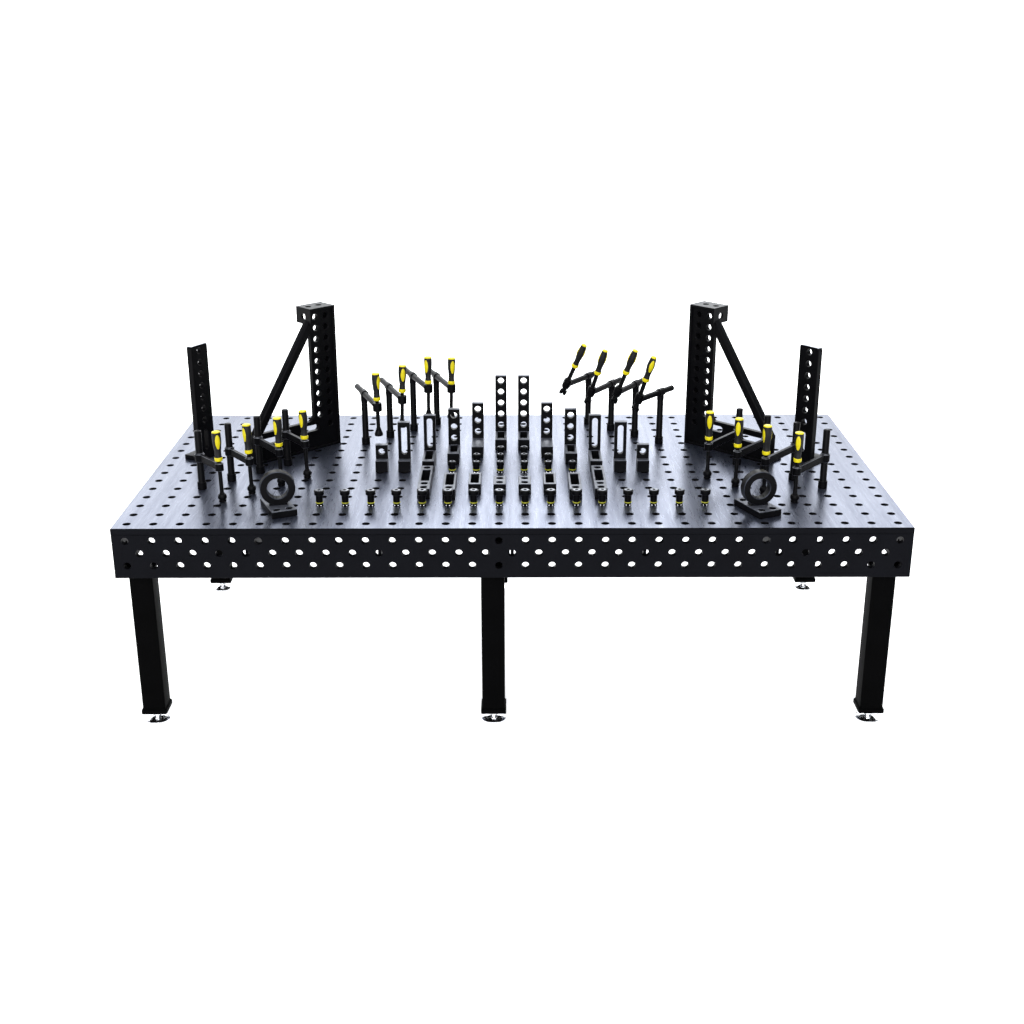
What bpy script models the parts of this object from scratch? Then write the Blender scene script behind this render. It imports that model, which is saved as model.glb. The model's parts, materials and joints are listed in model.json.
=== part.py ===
"""Perforated welding table, 3.0 x 1.5 m, with the clamps and brackets that stand in its bore grid.

Metres, +Z up, +X along the table. The origin is on the floor, under the middle of the table top.
"""
import math

import bmesh
import bpy
from mathutils import Matrix, Vector

# Table box
LENGTH = 3.0
DEPTH = 1.5
TOP_Z = 0.85
BOX_HEIGHT = 0.2
PLATE = 0.025
GRID = 0.1
BORE_RADIUS = 0.014
BORE_SIDES = 4
WALL_ROWS = (0.05, 0.10, 0.15)
GAP = 0.0003

# Ribs, legs and levelling feet
RIB_PITCH = 0.5
RIB_THICK = 0.012
LEG_WIDTH = 0.09
LEG_WALL = 0.006
LEG_X = (-1.42, -0.075, 1.42)
LEG_Y = 0.655
LEG_FOOT_Z = 0.062
FLANGE_X = 0.1094
FLANGE_Y = 0.1394
FLANGE_THICK = 0.01
LEG_RISE = 0.02
STUB_LOW = -0.017
STUB_HIGH = 0.0647
STUB_RISE = 0.16
STUB_THICK = 0.03
BASE_PLATE = 0.1
BASE_THICK = 0.018
STEM_RADIUS = 0.010
STEM_FIT = 0.002
FOOT_SIDES = 8
FOOT_RADIUS = 0.05

# Screw clamps: a post in a bore, an arm, and a spindle with its handle and pad
PIN_RADIUS = 0.0134
PIN_DEPTH = 0.045
COLLAR_RADIUS = 0.0175
COLLAR_HEIGHT = 0.03
POST_RADIUS = 0.0125
SPINDLE_RADIUS = 0.0075
SPINDLE_FIT = 0.0006
HANDLE_LENGTH = 0.12
HANDLE_RADIUS = 0.0165
PAD_RADIUS = 0.018
ROUND_SIDES = 6

BAR_POST_TOP = 0.245
BAR_ARM_HEIGHT = 0.03
BAR_ARM_WIDTH = 0.012
BAR_BOSS = 0.034
BAR_SLEEVE = 0.04

TUBE_RADIUS = 0.0125
TUBE_BOSS = 0.036
TUBE_SLEEVE = 0.034

# For each row: kind, length from the pad's sole to the handle, height of the pad, height of a tube's
# boss, and how far that boss stands over the arm's axis
CLAMP_ROWS = {
    "bar_clamp_left": ("bar", 0.165, 0.036, 0.0, 0.0),
    "bar_clamp_right": ("bar", 0.165, 0.036, 0.0, 0.0),
    "tube_clamp_left": ("tube", 0.155, 0.036, 0.036, 0.0),
    "tube_clamp_right": ("tube", 0.145, 0.028, 0.046, 0.008),
}
# For each clamp, numbered inwards: its bore (x, y), the arm's height over the top, heading, reach and
# tail, the spindle's lean in degrees, and its sole: over the top, or from a tube arm along the spindle
CLAMPS = {
    "bar_clamp_left_1": (-1.25, -0.3, 0.133, 306, 0.187, 0.0, 3.0, 0.0025),
    "bar_clamp_left_2": (-1.15, -0.2, 0.127, 305, 0.190, 0.0, 2.0, 0.0025),
    "bar_clamp_left_3": (-1.05, -0.1, 0.141, 305, 0.197, 0.0, 0.5, 0.0025),
    "bar_clamp_left_4": (-0.95, 0.0, 0.136, 302, 0.194, 0.0, 3.0, 0.0025),
    "bar_clamp_right_1": (1.25, -0.3, 0.128, 230, 0.227, 0.0, 0.5, 0.0025),
    "bar_clamp_right_2": (1.15, -0.2, 0.139, 230, 0.235, 0.0, 0.0, 0.0025),
    "bar_clamp_right_3": (1.05, -0.1, 0.134, 231, 0.235, 0.0, 0.5, 0.0025),
    "bar_clamp_right_4": (0.95, 0.0, 0.140, 231, 0.238, 0.0, -0.5, 0.0025),
    "tube_clamp_left_1": (-0.65, 0.3, 0.231, 290, 0.230, 0.128, 1.0, -0.126),
    "tube_clamp_left_2": (-0.55, 0.4, 0.234, 290, 0.222, 0.128, -2.0, -0.123),
    "tube_clamp_left_3": (-0.45, 0.5, 0.258, 291, 0.233, 0.128, -0.5, -0.133),
    "tube_clamp_left_4": (-0.35, 0.6, 0.231, 290, 0.233, 0.128, -1.5, -0.135),
    "tube_clamp_right_1": (0.65, 0.3, 0.235, 230, 0.168, 0.092, -20.0, -0.050),
    "tube_clamp_right_2": (0.55, 0.4, 0.245, 238, 0.176, 0.078, -22.5, -0.047),
    "tube_clamp_right_3": (0.45, 0.5, 0.220, 237, 0.191, 0.082, -19.0, -0.050),
    "tube_clamp_right_4": (0.35, 0.6, 0.229, 235, 0.188, 0.068, -25.5, -0.047),
}

# Angle brackets and tall stops
BRACKET_HEIGHT = 0.62
BRACKET_LENGTH = 0.448
BRACKET_WIDTH = 0.1015
BRACKET_DEPTH = 0.130
BRACKET_FOOT = 0.127
BRACKET_PLATE = 0.010
BRACKET_LIP = 0.07
BRACKET_TOE = 0.12
BRACKET_TOE_WIDTH = 0.047
BRACKET_PITCH = 0.048
BRACKET_DROP = 0.0385
BRACKET_BORE = 0.013
BRACKET_HOLE_X = 0.098
BRACKET_SLOTS = ((0.122, 0.184, 0.096), (0.307, 0.404, 0.088))
WEB_INSET = 0.010
WEB_THICK = 0.020
BRACE_WIDTH = 0.035
STOP_HEIGHT = 0.5
STOP_WIDTH = 0.1
STOP_THICK = 0.025
STOP_FOOT = 0.06
STOP_PLACES = {"left": (-1.3074, 0.0893, 61.4), "right": (1.2308, 0.0421, -51.1)}
BRACKET_PLACES = {"left": (-0.7631, 0.3125, 225), "right": (0.7631, 0.3125, -45)}

BLACK = (0.012, 0.012, 0.014, 1.0)
STEEL = (0.20, 0.22, 0.27, 1.0)
CHROME = (0.72, 0.73, 0.75, 1.0)
YELLOW = (0.80, 0.60, 0.02, 1.0)


def clear_scene():
    for item in list(bpy.data.objects):
        bpy.data.objects.remove(item, do_unlink=True)


def new_collection(name):
    made = bpy.data.collections.new(name)
    bpy.context.scene.collection.children.link(made)
    return made


def material(name, colour, roughness, metallic):
    made = bpy.data.materials.get(name) or bpy.data.materials.new(name)
    made.use_nodes = True
    shader = made.node_tree.nodes["Principled BSDF"]
    shader.inputs["Base Color"].default_value = colour
    shader.inputs["Roughness"].default_value = roughness
    shader.inputs["Metallic"].default_value = metallic
    return made


def finish(item, name, paint, place=None):
    item.name = name
    item.data.materials.clear()
    item.data.materials.append(paint)
    if place is not None:
        item.matrix_world = place
    PARTS.objects.link(item)
    return item


def ring_points(x, y, radius, sides, turn=0.0):
    step = 2 * math.pi / sides
    return [(x + radius * math.cos(turn + i * step), y + radius * math.sin(turn + i * step))
            for i in range(sides)]


def bore_points(x, y, radius=BORE_RADIUS, sides=BORE_SIDES):
    """A faceted bore drawn round its true circle, so a round pin of that size still passes."""
    outside = radius / math.cos(math.pi / sides)
    return ring_points(x, y, outside, sides, math.pi / sides)


def slot_points(x0, x1, y, radius, end_steps=3):
    """A slot along X with round ends."""
    points = []
    for middle, start in ((x1, -math.pi / 2), (x0, math.pi / 2)):
        for i in range(end_steps + 1):
            angle = start + math.pi * i / end_steps
            points.append((middle + radius * math.cos(angle), y + radius * math.sin(angle)))
    return points


def rectangle(x0, y0, x1, y1):
    return [(x0, y0), (x1, y0), (x1, y1), (x0, y1)]


def flat_curve(name, outline, holes, thickness):
    """A flat plate in its own XY plane, centred on z = 0, with through holes."""
    curve = bpy.data.curves.new(name, "CURVE")
    curve.dimensions = "2D"
    curve.fill_mode = "BOTH"
    curve.extrude = thickness / 2
    for loop in [outline] + holes:
        spline = curve.splines.new("POLY")
        spline.points.add(len(loop) - 1)
        for point, (x, y) in zip(spline.points, loop):
            point.co = (x, y, 0.0, 1.0)
        spline.use_cyclic_u = True
    return bpy.data.objects.new(name, curve)


def curve_mesh(item):
    """The curve as a welded mesh, for pieces that a Boolean joins or cuts."""
    GUIDES.objects.link(item)
    bpy.context.view_layer.update()
    graph = bpy.context.evaluated_depsgraph_get()
    mesh = bpy.data.meshes.new_from_object(item.evaluated_get(graph))
    bpy.data.objects.remove(item, do_unlink=True)
    weld(mesh)
    return mesh


def weld(mesh):
    shape = bmesh.new()
    shape.from_mesh(mesh)
    bmesh.ops.remove_doubles(shape, verts=shape.verts, dist=0.00001)
    bmesh.ops.recalc_face_normals(shape, faces=shape.faces)
    shape.to_mesh(mesh)
    shape.free()


def plate_mesh(outline, holes, thickness, place=None):
    mesh = curve_mesh(flat_curve("plate", outline, holes, thickness))
    if place is not None:
        mesh.transform(place)
    return mesh


def box_mesh(low, high):
    shape = bmesh.new()
    bmesh.ops.create_cube(shape, size=1.0)
    low, high = Vector(low), Vector(high)
    size = high - low
    bmesh.ops.scale(shape, vec=size, verts=shape.verts)
    bmesh.ops.translate(shape, vec=low + size / 2, verts=shape.verts)
    mesh = bpy.data.meshes.new("box")
    shape.to_mesh(mesh)
    shape.free()
    return mesh


def turned_mesh(profile, sides=ROUND_SIDES):
    """A turned solid about Z from (radius, z) points that start and end on the axis."""
    shape = bmesh.new()
    points = [shape.verts.new((radius, 0.0, z)) for radius, z in profile]
    edges = [shape.edges.new(pair) for pair in zip(points, points[1:])]
    bmesh.ops.spin(shape, geom=points + edges, cent=(0, 0, 0), axis=(0, 0, 1), angle=2 * math.pi,
                   steps=sides, use_duplicate=False)
    bmesh.ops.remove_doubles(shape, verts=shape.verts, dist=0.00001)
    bmesh.ops.recalc_face_normals(shape, faces=shape.faces)
    mesh = bpy.data.meshes.new("turned")
    shape.to_mesh(mesh)
    shape.free()
    return mesh


def rod_mesh(start, end, radius, sides=ROUND_SIDES):
    """A straight round bar from start to end."""
    start, end = Vector(start), Vector(end)
    length = (end - start).length
    mesh = turned_mesh([(0, length), (radius, length), (radius, 0), (0, 0)], sides)
    turn = (end - start).to_track_quat("Z", "Y").to_matrix().to_4x4()
    mesh.transform(Matrix.Translation(start) @ turn)
    return mesh


def boolean(target, tool_mesh, operation):
    tool = bpy.data.objects.new("tool", tool_mesh)
    GUIDES.objects.link(tool)
    tool.matrix_world = target.matrix_world
    tool.hide_render = True
    tool.display_type = "WIRE"
    change = target.modifiers.new(operation.lower(), "BOOLEAN")
    change.operation = operation
    change.solver = "EXACT"
    change.object = tool


def joined_mesh(first, adds=(), cuts=()):
    """One closed body from overlapping shapes, with the cutters taken out of it."""
    item = bpy.data.objects.new("joined", first)
    GUIDES.objects.link(item)
    for mesh in adds:
        boolean(item, mesh, "UNION")
    for mesh in cuts:
        boolean(item, mesh, "DIFFERENCE")
    bpy.context.view_layer.update()
    graph = bpy.context.evaluated_depsgraph_get()
    mesh = bpy.data.meshes.new_from_object(item.evaluated_get(graph))
    for tool in list(GUIDES.objects):
        bpy.data.objects.remove(tool, do_unlink=True)
    return mesh


# ---- the table box -------------------------------------------------------------------------

def grid_lines(length, first=GRID / 2):
    """Hole places along a side of this length, one grid step apart, centred on the side."""
    count = round((length - 2 * first) / GRID) + 1
    return [-length / 2 + first + i * GRID for i in range(count)]


def make_top():
    holes = [bore_points(x, y) for y in grid_lines(DEPTH) for x in grid_lines(LENGTH)]
    outline = rectangle(-LENGTH / 2, -DEPTH / 2, LENGTH / 2, DEPTH / 2)
    top = flat_curve("top_plate", outline, holes, PLATE)
    finish(top, "top_plate", steel, Matrix.Translation((0, 0, TOP_Z - PLATE / 2)))


def wall_holes(length):
    """Three rows below the top, the middle one half a step out of line with the others."""
    holes = []
    for row, drop in enumerate(WALL_ROWS):
        first = GRID if row == 1 else GRID / 2
        holes += [bore_points(x, -drop) for x in grid_lines(length, first)]
    return holes


def make_walls():
    upper = -PLATE - GAP
    for name, side in (("front_wall", -1), ("back_wall", 1)):
        outline = rectangle(-LENGTH / 2, -BOX_HEIGHT, LENGTH / 2, upper)
        wall = flat_curve(name, outline, wall_holes(LENGTH), PLATE)
        y = side * (DEPTH / 2 - PLATE / 2)
        place = Matrix.Translation((0, y, TOP_Z)) @ Matrix.Rotation(math.pi / 2, 4, "X")
        finish(wall, name, black, place)
    inner = DEPTH / 2 - PLATE - GAP
    for name, side in (("left_wall", -1), ("right_wall", 1)):
        outline = rectangle(-inner, -BOX_HEIGHT, inner, upper)
        wall = flat_curve(name, outline, wall_holes(DEPTH), PLATE)
        x = side * (LENGTH / 2 - PLATE / 2)
        turn = Matrix.Rotation(math.pi / 2, 4, "Z") @ Matrix.Rotation(math.pi / 2, 4, "X")
        finish(wall, name, black, Matrix.Translation((x, 0, TOP_Z)) @ turn)


def make_ribs():
    inner = DEPTH / 2 - PLATE - GAP
    for i in range(-2, 3):
        x = i * RIB_PITCH
        mesh = box_mesh((x - RIB_THICK / 2, -inner, TOP_Z - BOX_HEIGHT + 0.01),
                        (x + RIB_THICK / 2, inner, TOP_Z - PLATE - GAP))
        finish(bpy.data.objects.new("rib", mesh), f"cross_rib_{i + 3}", black)


def leg_mesh(stub):
    """A square tube with a bolting flange inside the box and a drilled plate at the bottom.

    A middle leg also has a stub that stands in the box beside the middle rib.
    """
    bottom = TOP_Z - BOX_HEIGHT + GAP
    upper = bottom + LEG_RISE
    half = LEG_WIDTH / 2
    tube = box_mesh((-half, -half, LEG_FOOT_Z), (half, half, upper))
    flange = box_mesh((-FLANGE_X / 2, -FLANGE_Y / 2, upper - FLANGE_THICK),
                      (FLANGE_X / 2, FLANGE_Y / 2, upper))
    pad = BASE_PLATE / 2
    base = box_mesh((-pad, -pad, LEG_FOOT_Z - BASE_THICK), (pad, pad, LEG_FOOT_Z + GAP))
    adds = [flange, base]
    if stub:
        post = box_mesh((STUB_LOW, -STUB_THICK, upper - FLANGE_THICK / 2),
                        (STUB_HIGH, STUB_THICK, bottom + STUB_RISE))
        adds.append(post)
    inside = half - LEG_WALL
    hollow = box_mesh((-inside, -inside, LEG_FOOT_Z + LEG_WALL), (inside, inside, upper - FLANGE_THICK))
    hole = rod_mesh((0, 0, 0), (0, 0, LEG_FOOT_Z + LEG_WALL * 2), STEM_RADIUS + STEM_FIT, FOOT_SIDES)
    return joined_mesh(tube, adds, [hollow, hole])


def foot_mesh():
    """A levelling foot: a dished disc, a ball socket, a lock nut and the threaded stem."""
    profile = [(0, 0.095), (STEM_RADIUS, 0.095), (STEM_RADIUS, 0.040), (0.017, 0.040), (0.017, 0.027),
               (0.013, 0.027), (0.020, 0.016), (FOOT_RADIUS, 0.006), (FOOT_RADIUS, 0.0), (0, 0.0)]
    return turned_mesh(profile, FOOT_SIDES)


def make_legs():
    corner_leg = leg_mesh(False)
    middle_leg = leg_mesh(True)
    foot = foot_mesh()
    for row, y in (("front", -LEG_Y), ("back", LEG_Y)):
        for place, x in zip(("left", "middle", "right"), LEG_X):
            at = Matrix.Translation((x, y, 0))
            leg = middle_leg if place == "middle" else corner_leg
            finish(bpy.data.objects.new("leg", leg.copy()), f"leg_{row}_{place}", black, at)
            finish(bpy.data.objects.new("foot", foot.copy()), f"foot_{row}_{place}", chrome, at)


# ---- screw clamps --------------------------------------------------------------------------

def post_mesh(top):
    profile = [(0, top), (POST_RADIUS, top), (POST_RADIUS, COLLAR_HEIGHT), (COLLAR_RADIUS, COLLAR_HEIGHT),
               (COLLAR_RADIUS, GAP), (PIN_RADIUS, GAP), (PIN_RADIUS, -PIN_DEPTH), (0, -PIN_DEPTH)]
    return turned_mesh(profile)


def bar_arm_mesh(reach):
    """The flat arm, about its mid height: a square sleeve on the post, a bar, and a bored boss."""
    half = BAR_ARM_WIDTH / 2
    sleeve = BAR_SLEEVE / 2
    boss = BAR_BOSS / 2
    near_side = [(-sleeve, -sleeve), (sleeve, -sleeve), (sleeve, -half), (reach - boss, -half),
                 (reach - boss, -boss), (reach + boss, -boss)]
    far_side = [(x, -y) for x, y in reversed(near_side)]
    hole = ring_points(reach, 0, SPINDLE_RADIUS + SPINDLE_FIT, ROUND_SIDES)
    return plate_mesh(near_side + far_side, [hole], BAR_ARM_HEIGHT)


def bar_frame_mesh(reach, seat):
    arm = bar_arm_mesh(reach)
    arm.transform(seat)
    return joined_mesh(post_mesh(BAR_POST_TOP), [arm])


def tube_frame_mesh(reach, tail, height, seat, boss_height, lift):
    """A post with a cross sleeve that holds a round arm; seat rolls the arm's boss about the arm."""
    arm = rod_mesh((-tail, 0, height), (reach + 0.01, 0, height), TUBE_RADIUS)
    half = TUBE_SLEEVE / 2
    sleeve = box_mesh((-half, -half, height - half), (half, half, height + half))
    boss_half = TUBE_BOSS / 2
    boss = box_mesh((reach - boss_half, -boss_half, lift - boss_height / 2),
                    (reach + boss_half, boss_half, lift + boss_height / 2))
    bore = rod_mesh((reach, 0, -0.1), (reach, 0, 0.1), SPINDLE_RADIUS + SPINDLE_FIT)
    boss.transform(seat)
    bore.transform(seat)
    return joined_mesh(post_mesh(height), [sleeve, arm, boss], [bore])


def spindle_mesh(start, pad_height):
    """The pad, the screw and the handle from this start, with the pad's sole at z = 0."""
    pad = PAD_RADIUS
    end = start + HANDLE_LENGTH
    profile = [(0, end), (HANDLE_RADIUS * 0.9, end), (HANDLE_RADIUS, end - 0.03),
               (HANDLE_RADIUS * 0.72, start + 0.03), (HANDLE_RADIUS * 0.9, start),
               (SPINDLE_RADIUS, start), (SPINDLE_RADIUS, pad_height), (pad * 0.7, pad_height),
               (pad, pad_height / 2), (pad * 0.7, 0.0), (0, 0.0)]
    return turned_mesh(profile)


def make_clamp(name, kind, start, pad_height, boss_height, lift):
    x, y, height, heading, reach, tail, lean, sole = CLAMPS[name]
    place = Matrix.Translation((x, y, TOP_Z)) @ Matrix.Rotation(math.radians(heading), 4, "Z")
    lean = math.radians(lean)
    if kind == "bar":
        seat = Matrix.Translation((0, 0, height)) @ Matrix.Rotation(-lean, 4, "Y")
        drop = (sole - height - reach * math.sin(lean)) / math.cos(lean)
        frame = bar_frame_mesh(reach, seat)
    else:
        seat = Matrix.Translation((0, 0, height)) @ Matrix.Rotation(lean, 4, "X")
        drop = sole
        frame = tube_frame_mesh(reach, tail, height, seat, boss_height, lift)
    finish(bpy.data.objects.new("frame", frame), f"{name}_frame", black, place)
    spindle = bpy.data.objects.new("spindle", spindle_mesh(start, pad_height))
    finish(spindle, f"{name}_spindle", yellow, place @ seat @ Matrix.Translation((reach, 0, drop)))


def make_clamps():
    for name in CLAMPS:
        make_clamp(name, *CLAMP_ROWS[name[:-2]])


# ---- angle brackets and tall stops ---------------------------------------------------------

def flat_bar_path(length, height, depth, lip, plate):
    """Outline of the bent outer flange seen from the side: foot, back, cap and lip."""
    outer = [(length, 0), (0, 0), (0, height), (depth, height), (depth, height - lip)]
    inner = [(depth - plate, height - lip), (depth - plate, height - plate), (plate, height - plate),
             (plate, plate), (length, plate)]
    return outer + inner


def bracket_mesh(side):
    """A tall angle: x runs along its foot, z up, y across from the web's side; side is -1 or 1."""
    half = BRACKET_PLATE / 2
    depth = BRACKET_DEPTH
    height = BRACKET_HEIGHT
    length = BRACKET_LENGTH
    foot = BRACKET_FOOT
    edge = depth - 0.001
    step = height - BRACKET_LIP - 0.002
    web = [(half, half), (length - half, half), (length - half, foot), (edge, foot),
           (edge, step), (depth - half, step), (depth - half, height - half), (half, height - half)]
    rows = round((height - foot) / BRACKET_PITCH)
    first = height - BRACKET_DROP
    holes = [bore_points(BRACKET_HOLE_X, first - i * BRACKET_PITCH, BRACKET_BORE) for i in range(rows)]
    for x0, x1, z in BRACKET_SLOTS:
        holes.append(slot_points(x0, x1, z, BORE_RADIUS))
    upright = Matrix.Rotation(math.pi / 2, 4, "X")
    middle = side * (WEB_INSET + WEB_THICK / 2)
    body = plate_mesh(web, holes, WEB_THICK, Matrix.Translation((0, middle, 0)) @ upright)
    strip = flat_bar_path(length, height, depth, BRACKET_LIP, BRACKET_PLATE)
    across = Matrix.Translation((0, side * BRACKET_WIDTH / 2, 0)) @ upright
    flange = plate_mesh(strip, [], BRACKET_WIDTH, across)
    start, end = Vector((0.116, 0, height - 0.062)), Vector((length - 0.013, 0, 0.105))
    run = end - start
    bar = box_mesh((-BRACE_WIDTH / 2, -BRACE_WIDTH / 2, 0), (BRACE_WIDTH / 2, BRACE_WIDTH / 2, run.length))
    lean = Matrix.Rotation(math.atan2(run.x, run.z), 4, "Y")
    offset = side * (WEB_INSET + 0.002 + BRACE_WIDTH / 2)
    bar.transform(Matrix.Translation((start.x, offset, start.z)) @ lean)
    wide = side * BRACKET_WIDTH / 2
    cap_z = height - BRACKET_PLATE / 2
    cutters = [rod_mesh((x, wide, cap_z - 0.02), (x, wide, cap_z + 0.02), BORE_RADIUS, 6)
               for x in (0.048, 0.102)]
    lip_x = depth - half
    cutters.append(rod_mesh((lip_x - 0.02, wide, first), (lip_x + 0.02, wide, first), BORE_RADIUS, 6))
    near, far = sorted((side * 0.001, side * BRACKET_TOE_WIDTH))
    toe = box_mesh((length - BRACKET_PLATE, near, 0.002), (length - 0.0005, far, BRACKET_TOE))
    return joined_mesh(body, [flange, bar, toe], cutters)


def stop_mesh():
    """A tall drilled stop: x across, z up, its front face at y = 0."""
    half = STOP_WIDTH / 2
    outline = rectangle(-half, 0, half, STOP_HEIGHT)
    holes = [bore_points(0, 0.175 + i * 0.05) for i in range(7)]
    slot = [(x, y) for y, x in slot_points(0.055, 0.12, 0.0, 0.0125)]
    place = Matrix.Translation((0, STOP_THICK / 2, 0)) @ Matrix.Rotation(math.pi / 2, 4, "X")
    body = plate_mesh(outline, holes + [slot], STOP_THICK, place)
    foot = box_mesh((-half, STOP_THICK - 0.002, 0), (half, STOP_THICK + STOP_FOOT, 0.02))
    return joined_mesh(body, [foot])


def on_table(x, y, heading):
    return Matrix.Translation((x, y, TOP_Z + GAP)) @ Matrix.Rotation(math.radians(heading), 4, "Z")


def make_fixtures():
    for name, (x, y, heading) in BRACKET_PLACES.items():
        bracket = bpy.data.objects.new("bracket", bracket_mesh(-1 if x < 0 else 1))
        finish(bracket, f"angle_bracket_{name}", black, on_table(x, y, heading))
    stop = stop_mesh()
    for name, (x, y, heading) in STOP_PLACES.items():
        finish(bpy.data.objects.new("stop", stop.copy()), f"tall_stop_{name}", black, on_table(x, y, heading))


clear_scene()
PARTS = new_collection("welding_table")
GUIDES = new_collection("cutters")
steel = material("satin_steel", STEEL, 0.3, 0.9)
black = material("black_steel", BLACK, 0.45, 0.6)
chrome = material("chrome", CHROME, 0.12, 1.0)
yellow = material("handle_yellow", YELLOW, 0.4, 0.0)
make_top()
make_walls()
make_ribs()
make_legs()
make_clamps()
make_fixtures()
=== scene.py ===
"""Looks of the welding table: fine plates, clamps, squares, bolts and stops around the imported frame.

Metres, +Z up, in the frame's own axes. TOP is the height of the table top. Every clamp is built in its own
frame, with its bore at the origin and its arm along +X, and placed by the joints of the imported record.
"""
import json
import math

import bmesh
import bpy
from mathutils import Matrix, Vector


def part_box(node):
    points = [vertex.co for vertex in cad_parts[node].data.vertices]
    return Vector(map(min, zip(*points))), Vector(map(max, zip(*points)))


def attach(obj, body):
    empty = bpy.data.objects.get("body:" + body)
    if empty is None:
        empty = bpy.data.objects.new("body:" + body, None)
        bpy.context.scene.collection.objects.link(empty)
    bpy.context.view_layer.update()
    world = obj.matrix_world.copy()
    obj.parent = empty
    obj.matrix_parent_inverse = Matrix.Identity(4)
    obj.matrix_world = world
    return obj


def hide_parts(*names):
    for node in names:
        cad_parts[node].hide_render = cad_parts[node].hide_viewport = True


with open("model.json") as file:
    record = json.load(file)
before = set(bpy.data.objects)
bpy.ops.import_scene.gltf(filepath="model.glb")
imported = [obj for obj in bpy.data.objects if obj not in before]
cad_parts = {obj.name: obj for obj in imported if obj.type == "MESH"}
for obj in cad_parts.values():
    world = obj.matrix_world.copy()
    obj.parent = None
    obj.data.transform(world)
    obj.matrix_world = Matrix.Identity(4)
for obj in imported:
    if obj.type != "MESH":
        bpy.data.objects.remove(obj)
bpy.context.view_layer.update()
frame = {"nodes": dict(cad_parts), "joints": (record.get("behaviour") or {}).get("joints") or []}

# Table box
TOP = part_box("top_plate")[1].z
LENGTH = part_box("top_plate")[1].x * 2
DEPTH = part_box("top_plate")[1].y * 2
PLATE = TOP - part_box("top_plate")[0].z
BOX_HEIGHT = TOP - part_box("front_wall")[0].z
GAP = 0.0003
GRID = 0.1
BORE = 0.014
BORE_SIDES = 24
RIM = 0.0012
WALL_ROWS = (0.05, 0.10, 0.15)

# Clamps, in the clamp's own frame
COLLAR_TOP = 0.03
POST_RADIUS = 0.0138
BAR_ARM_HEIGHT = 0.03
BAR_POST_TOP = 0.245
TUBE_RADIUS = 0.0125
SCREW_RADIUS = 0.0083
THICK_SCREW_RADIUS = 0.0097
THREAD_DEPTH = 0.0008
THREAD_SIDES = 16
BARREL_LIFT = 0.008
SPINDLE_SEARCH = 0.027
HANDLE_LENGTH = 0.12
HANDLE_COLLAR = 0.015
HANDLE_CAP = 0.006
GRIP_TAPER = 0.0045
GRIP_SIDES = 36

# Legs
LEG_HALF = 0.045
LEG_BASE_HALF = 0.05
LEG_BASE_HEIGHT = 0.018
LEG_FLANGE_WIDE = 0.0547
LEG_FLANGE_DEEP = 0.0697
LEG_FLANGE_HEIGHT = 0.010

# Angle brackets and tall stops
BRACKET_HEIGHT = 0.62
BRACKET_LENGTH = 0.448
BRACKET_WIDTH = 0.1015
BRACKET_DEPTH = 0.130
BRACKET_FOOT = 0.127
BRACKET_SHEET = 0.010
BRACKET_HOLE = 0.013
BRACKET_PITCH = 0.048
BRACKET_FIRST_HOLE = BRACKET_HEIGHT - 0.0385
BRACKET_LIP = BRACKET_HEIGHT - 0.07
BRACKET_CAP = BRACKET_HEIGHT - 0.072
BRACKET_TOE_WIDTH = 0.047
BRACKET_TOE_HEIGHT = 0.12
BRACE_HALF = 0.0175
STOP_HEIGHT = 0.5
STOP_THICKNESS = 0.025
STOP_HALF = 0.05
STOP_CORNER = 0.010

# Tooling that stands on the table
WIDE = 0.05
SQUARE_THICKNESS = 0.025
SQUARE_FOOT = 0.05
STRAP_HEIGHT = 0.045
BOLT_SOCKET = 0.006
SEAL_RADIUS = 0.0130
SEAL_HEIGHT = 0.0138
BLOCK_HEIGHT = 0.027
RING_RADIUS = 0.0675
RING_HEIGHT = 0.067

# Looks and studio
SMOOTH_ANGLE = math.radians(32)
NOISE_LOW = 0.3
NOISE_HIGH = 0.7
STAGE_HALF = 80
BACKDROP_DISTANCE = 60
SUN_ANGLE = math.radians(60)
TARGET = (0, 0, 0.9)
PANEL_HEIGHT = 4.9
PANEL_SIDE = 3.6
PANEL_COLOUR = (0.92, 0.96, 1.0)


# ---- meshes --------------------------------------------------------------------------------

def ring(x, y, radius, sides=BORE_SIDES):
    step = 2 * math.pi / sides
    return [(x + radius * math.cos(i * step), y + radius * math.sin(i * step)) for i in range(sides)]


def arc(x, y, radius, start, end, steps):
    """Points of an arc from start to end, in degrees."""
    turn = [math.radians(start + (end - start) * i / steps) for i in range(steps + 1)]
    return [(x + radius * math.cos(t), y + radius * math.sin(t)) for t in turn]


def slot(x0, x1, y, radius):
    """A slot along X with round ends."""
    return arc(x1, y, radius, -90, 90, 8) + arc(x0, y, radius, 90, 270, 8)


def upright_slot(y0, y1, radius):
    """A slot along Y with round ends, from y0 to y1."""
    return [(x, y) for y, x in slot(y0 + radius, y1 - radius, 0.0, radius)][::-1]


def rectangle(x0, y0, x1, y1):
    return [(x0, y0), (x1, y0), (x1, y1), (x0, y1)]


def round_rectangle(x0, y0, x1, y1, radius):
    corners = [(x1 - radius, y0 + radius, -90), (x1 - radius, y1 - radius, 0),
               (x0 + radius, y1 - radius, 90), (x0 + radius, y0 + radius, 180)]
    return [point for x, y, start in corners for point in arc(x, y, radius, start, start + 90, 5)]


def smooth(mesh):
    mesh.shade_smooth()
    mesh.set_sharp_from_angle(angle=SMOOTH_ANGLE)
    return mesh


def to_mesh(shape):
    bmesh.ops.recalc_face_normals(shape, faces=shape.faces)
    mesh = bpy.data.meshes.new("shape")
    shape.to_mesh(mesh)
    shape.free()
    return smooth(mesh)


def put(item):
    """The object, linked into the scene."""
    bpy.context.scene.collection.objects.link(item)
    return item


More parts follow.
